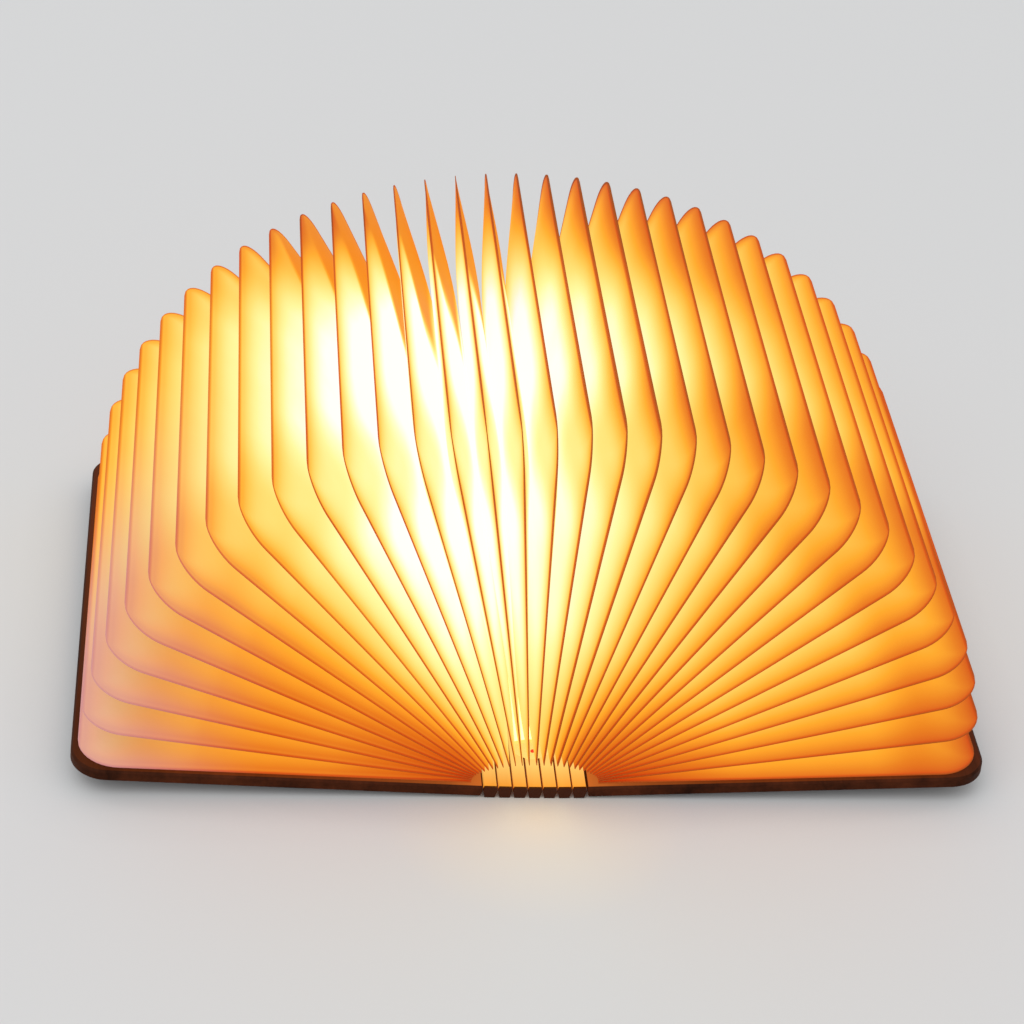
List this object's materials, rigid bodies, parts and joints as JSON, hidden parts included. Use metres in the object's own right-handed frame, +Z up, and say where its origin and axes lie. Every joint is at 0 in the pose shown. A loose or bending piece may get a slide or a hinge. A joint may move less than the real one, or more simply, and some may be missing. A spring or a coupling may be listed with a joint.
{
  "type": "folding book lamp",
  "caption": "Lamp shaped like an open book: wooden covers on a slatted folding spine fan out lit paper pages from a light bar",
  "frame": {"origin": "under the middle slat of the spine, halfway along it, on the surface that the lamp rests on", "axes": "+X across the open covers towards the right one, +Y along the spine away from the viewer, +Z up"},
  "size_m": [0.3588, 0.215, 0.1664],
  "materials": {
    "walnut": "satin varnish over dark walnut",
    "slat_walnut": "glossy varnish over walnut",
    "page_paper": "matt translucent waterproof paper, lit from inside",
    "housing_plastic": "matt",
    "cap_plastic": "matt",
    "diffuser": "frosted",
    "white_circuit_board": "satin",
    "green_circuit_board": "satin",
    "warm_led": "clear resin over yellow phosphor",
    "battery_pouch": "satin foil",
    "sensor_case": "matt",
    "port_steel": "satin",
    "magnet_steel": "nickel plated",
    "red_indicator": "clear red lens, lit"
  },
  "bodies": {
    "spine_middle": {"spine_slat_4": "slat_walnut", "light_bar_housing": "housing_plastic", "led_board": "white_circuit_board", "led_chips": "warm_led", "light_diffuser": "diffuser", "battery_cells": "battery_pouch", "control_board": "green_circuit_board", "hall_sensor": "sensor_case", "charging_port": "port_steel", "indicator_light": "red_indicator", "end_cap_front": "cap_plastic", "end_cap_rear": "cap_plastic", "page_18": "page_paper"},
    "slat_1": {"spine_slat_1": "slat_walnut", "page_05": "page_paper"},
    "slat_2": {"spine_slat_2": "slat_walnut", "page_09": "page_paper"},
    "slat_3": {"spine_slat_3": "slat_walnut", "page_13": "page_paper"},
    "slat_5": {"spine_slat_5": "slat_walnut", "page_24": "page_paper"},
    "slat_6": {"spine_slat_6": "slat_walnut", "page_28": "page_paper"},
    "slat_7": {"spine_slat_7": "slat_walnut", "page_31": "page_paper"},
    "cover_left": {"cover_left": "walnut", "page_01": "page_paper", "closing_magnets_left": "magnet_steel", "trigger_magnet": "magnet_steel"},
    "cover_right": {"cover_right": "walnut", "page_35": "page_paper", "closing_magnets_right": "magnet_steel"},
    "page_02": {"page_02": "page_paper"},
    "page_03": {"page_03": "page_paper"},
    "page_04": {"page_04": "page_paper"},
    "page_06": {"page_06": "page_paper"},
    "page_07": {"page_07": "page_paper"},
    "page_08": {"page_08": "page_paper"},
    "page_10": {"page_10": "page_paper"},
    "page_11": {"page_11": "page_paper"},
    "page_12": {"page_12": "page_paper"},
    "page_14": {"page_14": "page_paper"},
    "page_15": {"page_15": "page_paper"},
    "page_16": {"page_16": "page_paper"},
    "page_17": {"page_17": "page_paper"},
    "page_19": {"page_19": "page_paper"},
    "page_20": {"page_20": "page_paper"},
    "page_21": {"page_21": "page_paper"},
    "page_22": {"page_22": "page_paper"},
    "page_23": {"page_23": "page_paper"},
    "page_25": {"page_25": "page_paper"},
    "page_26": {"page_26": "page_paper"},
    "page_27": {"page_27": "page_paper"},
    "page_29": {"page_29": "page_paper"},
    "page_30": {"page_30": "page_paper"},
    "page_32": {"page_32": "page_paper"},
    "page_33": {"page_33": "page_paper"},
    "page_34": {"page_34": "page_paper"}
  },
  "joints": [
    {"name": "left_fold", "type": "hinge", "parent": "spine_middle", "child": "slat_3", "pos_m": [-0.00292, 0, 0.0033], "axis": [0, 1, 0], "range_deg": [-24.07, 21.88], "deforming": ["page_13", "page_18"]},
    {"name": "left_fold_2", "type": "hinge", "parent": "slat_3", "child": "slat_2", "pos_m": [-0.00874, 0, 0.00336], "axis": [0, 1, 0], "range_deg": [-24.12, 21.93], "deforming": ["page_09"]},
    {"name": "left_fold_3", "type": "hinge", "parent": "slat_2", "child": "slat_1", "pos_m": [-0.01457, 0, 0.00349], "axis": [0, 1, 0], "range_deg": [-24.12, 21.93], "deforming": ["page_05"]},
    {"name": "left_fold_4", "type": "hinge", "parent": "slat_1", "child": "cover_left", "pos_m": [-0.0204, 0, 0.00368], "axis": [0, 1, 0], "range_deg": [-24.12, 21.93], "deforming": ["page_01"]},
    {"name": "right_fold", "type": "hinge", "parent": "spine_middle", "child": "slat_5", "pos_m": [0.00292, 0, 0.0033], "axis": [0, -1, 0], "range_deg": [-24.07, 21.88], "deforming": ["page_24"]},
    {"name": "right_fold_2", "type": "hinge", "parent": "slat_5", "child": "slat_6", "pos_m": [0.00874, 0, 0.00336], "axis": [0, -1, 0], "range_deg": [-24.12, 21.93], "deforming": ["page_28"]},
    {"name": "right_fold_3", "type": "hinge", "parent": "slat_6", "child": "slat_7", "pos_m": [0.01457, 0, 0.00349], "axis": [0, -1, 0], "range_deg": [-24.12, 21.93], "deforming": ["page_31"]},
    {"name": "right_fold_4", "type": "hinge", "parent": "slat_7", "child": "cover_right", "pos_m": [0.0204, 0, 0.00368], "axis": [0, -1, 0], "range_deg": [-24.12, 21.93], "deforming": ["page_35"]},
    {"name": "page_02_turn", "type": "hinge", "parent": "spine_middle", "child": "page_02", "pos_m": [-0.01186, 0, 0.00463], "axis": [0, 1, 0], "range_deg": [-89.35, 81.19], "deforming": ["page_02"]},
    {"name": "page_03_turn", "type": "hinge", "parent": "spine_middle", "child": "page_03", "pos_m": [-0.01128, 0, 0.00347], "axis": [0, 1, 0], "range_deg": [-82.4, 74.87], "deforming": ["page_03"]},
    {"name": "page_04_turn", "type": "hinge", "parent": "spine_middle", "child": "page_04", "pos_m": [-0.01068, 0, 0.00221], "axis": [0, 1, 0], "range_deg": [-75.53, 68.63], "deforming": ["page_04"]},
    {"name": "page_06_turn", "type": "hinge", "parent": "spine_middle", "child": "page_06", "pos_m": [-0.00937, 0, -0.00053], "axis": [0, 1, 0], "range_deg": [-62.25, 56.57], "deforming": ["page_06"]},
    {"name": "page_07_turn", "type": "hinge", "parent": "spine_middle", "child": "page_07", "pos_m": [-0.00868, 0, -0.002], "axis": [0, 1, 0], "range_deg": [-55.91, 50.81], "deforming": ["page_07"]},
    {"name": "page_08_turn", "type": "hinge", "parent": "spine_middle", "child": "page_08", "pos_m": [-0.00797, 0, -0.00352], "axis": [0, 1, 0], "range_deg": [-49.82, 45.27], "deforming": ["page_08"]},
    {"name": "page_10_turn", "type": "hinge", "parent": "spine_middle", "child": "page_10", "pos_m": [-0.00648, 0, -0.00661], "axis": [0, 1, 0], "range_deg": [-38.41, 34.91], "deforming": ["page_10"]},
    {"name": "page_11_turn", "type": "hinge", "parent": "spine_middle", "child": "page_11", "pos_m": [-0.00572, 0, -0.00811], "axis": [0, 1, 0], "range_deg": [-33.11, 30.09], "deforming": ["page_11"]},
    {"name": "page_12_turn", "type": "hinge", "parent": "spine_middle", "child": "page_12", "pos_m": [-0.00495, 0, -0.0095], "axis": [0, 1, 0], "range_deg": [-28.07, 25.51], "deforming": ["page_12"]},
    {"name": "page_14_turn", "type": "hinge", "parent": "spine_middle", "child": "page_14", "pos_m": [-0.00341, 0, -0.01163], "axis": [0, 1, 0], "range_deg": [-18.69, 16.99], "deforming": ["page_14"]},
    {"name": "page_15_turn", "type": "hinge", "parent": "spine_middle", "child": "page_15", "pos_m": [-0.00264, 0, -0.01206], "axis": [0, 1, 0], "range_deg": [-14.29, 12.99], "deforming": ["page_15"]},
    {"name": "page_16_turn", "type": "hinge", "parent": "spine_middle", "child": "page_16", "pos_m": [-0.00186, 0, -0.01154], "axis": [0, 1, 0], "range_deg": [-10.02, 9.11], "deforming": ["page_16"]},
    {"name": "page_17_turn", "type": "hinge", "parent": "spine_middle", "child": "page_17", "pos_m": [-0.00106, 0, -0.00846], "axis": [0, 1, 0], "range_deg": [-5.84, 5.31], "deforming": ["page_17"]},
    {"name": "page_19_turn", "type": "hinge", "parent": "spine_middle", "child": "page_19", "pos_m": [0.00008, 0, -0.03869], "axis": [0, -1, 0], "range_deg": [-2.55, 2.32], "deforming": ["page_19"]},
    {"name": "page_20_turn", "type": "hinge", "parent": "spine_middle", "child": "page_20", "pos_m": [0.00104, 0, -0.02417], "axis": [0, -1, 0], "range_deg": [-6.76, 6.15], "deforming": ["page_20"]},
    {"name": "page_21_turn", "type": "hinge", "parent": "spine_middle", "child": "page_21", "pos_m": [0.00189, 0, -0.01976], "axis": [0, -1, 0], "range_deg": [-11.09, 10.08], "deforming": ["page_21"]},
    {"name": "page_22_turn", "type": "hinge", "parent": "spine_middle", "child": "page_22", "pos_m": [0.00272, 0, -0.01689], "axis": [0, -1, 0], "range_deg": [-15.57, 14.15], "deforming": ["page_22"]},
    {"name": "page_23_turn", "type": "hinge", "parent": "spine_middle", "child": "page_23", "pos_m": [0.00355, 0, -0.01449], "axis": [0, -1, 0], "range_deg": [-20.26, 18.41], "deforming": ["page_23"]},
    {"name": "page_25_turn", "type": "hinge", "parent": "spine_middle", "child": "page_25", "pos_m": [0.00522, 0, -0.01017], "axis": [0, -1, 0], "range_deg": [-30.37, 27.6], "deforming": ["page_25"]},
    {"name": "page_26_turn", "type": "hinge", "parent": "spine_middle", "child": "page_26", "pos_m": [0.00604, 0, -0.00815], "axis": [0, -1, 0], "range_deg": [-35.84, 32.57], "deforming": ["page_26"]},
    {"name": "page_27_turn", "type": "hinge", "parent": "spine_middle", "child": "page_27", "pos_m": [0.00685, 0, -0.00621], "axis": [0, -1, 0], "range_deg": [-41.6, 37.81], "deforming": ["page_27"]},
    {"name": "page_29_turn", "type": "hinge", "parent": "spine_middle", "child": "page_29", "pos_m": [0.00842, 0, -0.00261], "axis": [0, -1, 0], "range_deg": [-53.99, 49.06], "deforming": ["page_29"]},
    {"name": "page_30_turn", "type": "hinge", "parent": "spine_middle", "child": "page_30", "pos_m": [0.00916, 0, -0.00096], "axis": [0, -1, 0], "range_deg": [-60.59, 55.06], "deforming": ["page_30"]},
    {"name": "page_32_turn", "type": "hinge", "parent": "spine_middle", "child": "page_32", "pos_m": [0.01055, 0, 0.00202], "axis": [0, -1, 0], "range_deg": [-74.47, 67.67], "deforming": ["page_32"]},
    {"name": "page_33_turn", "type": "hinge", "parent": "spine_middle", "child": "page_33", "pos_m": [0.0112, 0, 0.00336], "axis": [0, -1, 0], "range_deg": [-81.67, 74.21], "deforming": ["page_33"]},
    {"name": "page_34_turn", "type": "hinge", "parent": "spine_middle", "child": "page_34", "pos_m": [0.01183, 0, 0.00458], "axis": [0, -1, 0], "range_deg": [-88.98, 80.85], "deforming": ["page_34"]}
  ],
  "couplings": [
    {"joint": "left_fold_2", "follows": "left_fold", "ratio": 1},
    {"joint": "left_fold_3", "follows": "left_fold", "ratio": 1},
    {"joint": "left_fold_4", "follows": "left_fold", "ratio": 1},
    {"joint": "right_fold_2", "follows": "right_fold", "ratio": 1},
    {"joint": "right_fold_3", "follows": "right_fold", "ratio": 1},
    {"joint": "right_fold_4", "follows": "right_fold", "ratio": 1},
    {"joint": "page_02_turn", "follows": "left_fold", "ratio": 3.7094},
    {"joint": "page_03_turn", "follows": "left_fold", "ratio": 3.4204},
    {"joint": "page_04_turn", "follows": "left_fold", "ratio": 3.1352},
    {"joint": "page_06_turn", "follows": "left_fold", "ratio": 2.5836},
    {"joint": "page_07_turn", "follows": "left_fold", "ratio": 2.3204},
    {"joint": "page_08_turn", "follows": "left_fold", "ratio": 2.0671},
    {"joint": "page_10_turn", "follows": "left_fold", "ratio": 1.5934},
    {"joint": "page_11_turn", "follows": "left_fold", "ratio": 1.3734},
    {"joint": "page_12_turn", "follows": "left_fold", "ratio": 1.1641},
    {"joint": "page_14_turn", "follows": "left_fold", "ratio": 0.77435},
    {"joint": "page_15_turn", "follows": "left_fold", "ratio": 0.59134},
    {"joint": "page_16_turn", "follows": "left_fold", "ratio": 0.41402},
    {"joint": "page_17_turn", "follows": "left_fold", "ratio": 0.24046},
    {"joint": "page_19_turn", "follows": "right_fold", "ratio": 0.10379},
    {"joint": "page_20_turn", "follows": "right_fold", "ratio": 0.27878},
    {"joint": "page_21_turn", "follows": "right_fold", "ratio": 0.45847},
    {"joint": "page_22_turn", "follows": "right_fold", "ratio": 0.6448},
    {"joint": "page_23_turn", "follows": "right_fold", "ratio": 0.83949},
    {"joint": "page_25_turn", "follows": "right_fold", "ratio": 1.2595},
    {"joint": "page_26_turn", "follows": "right_fold", "ratio": 1.4867},
    {"joint": "page_27_turn", "follows": "right_fold", "ratio": 1.726},
    {"joint": "page_29_turn", "follows": "right_fold", "ratio": 2.2406},
    {"joint": "page_30_turn", "follows": "right_fold", "ratio": 2.5148},
    {"joint": "page_32_turn", "follows": "right_fold", "ratio": 3.0911},
    {"joint": "page_33_turn", "follows": "right_fold", "ratio": 3.39},
    {"joint": "page_34_turn", "follows": "right_fold", "ratio": 3.6937}
  ]
}
